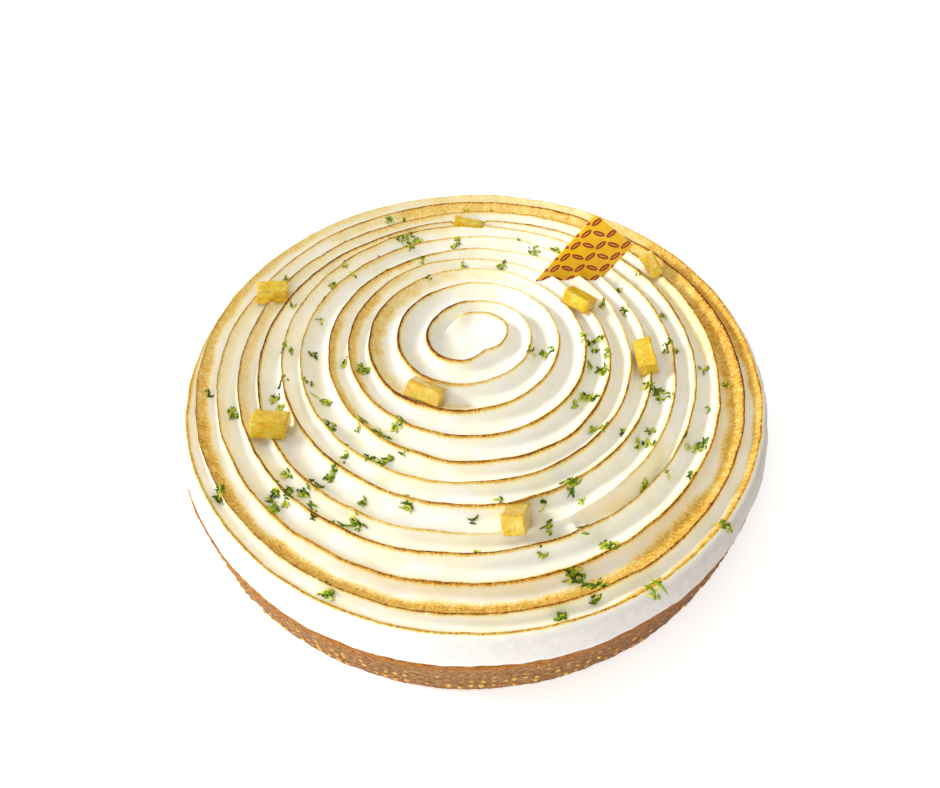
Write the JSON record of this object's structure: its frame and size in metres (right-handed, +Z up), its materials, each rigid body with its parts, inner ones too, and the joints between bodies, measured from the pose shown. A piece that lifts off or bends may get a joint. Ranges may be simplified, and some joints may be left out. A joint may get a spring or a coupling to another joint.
{
  "type": "frozen lemon meringue tart",
  "caption": "Round uncut lemon meringue tart: baked case, torched meringue piped in a spiral, candied lemon batons, lime zest and a small plain plaque.",
  "frame": {"origin": "middle of the underside of the baked case, on the surface it rests on", "axes": "+Z up through the middle of the tart, -Y towards the front, +X to the right seen from the front"},
  "size_m": [0.2206, 0.2206, 0.0582],
  "materials": {
    "crust": "dry baked shortcrust, rough",
    "meringue": "soft satin, toasted brown along the ridges",
    "candied_lemon": "moist and translucent",
    "plaque": "smooth satin yellow with a dark red motif",
    "zest": "fresh lime zest, slightly oily"
  },
  "bodies": {
    "root": {"crust": "crust", "meringue": "meringue", "candied_lemon_1": "candied_lemon", "candied_lemon_2": "candied_lemon", "candied_lemon_3": "candied_lemon", "candied_lemon_4": "candied_lemon", "candied_lemon_5": "candied_lemon", "candied_lemon_6": "candied_lemon", "candied_lemon_7": "candied_lemon", "candied_lemon_8": "candied_lemon", "plaque": "plaque"}
  },
  "joints": []
}
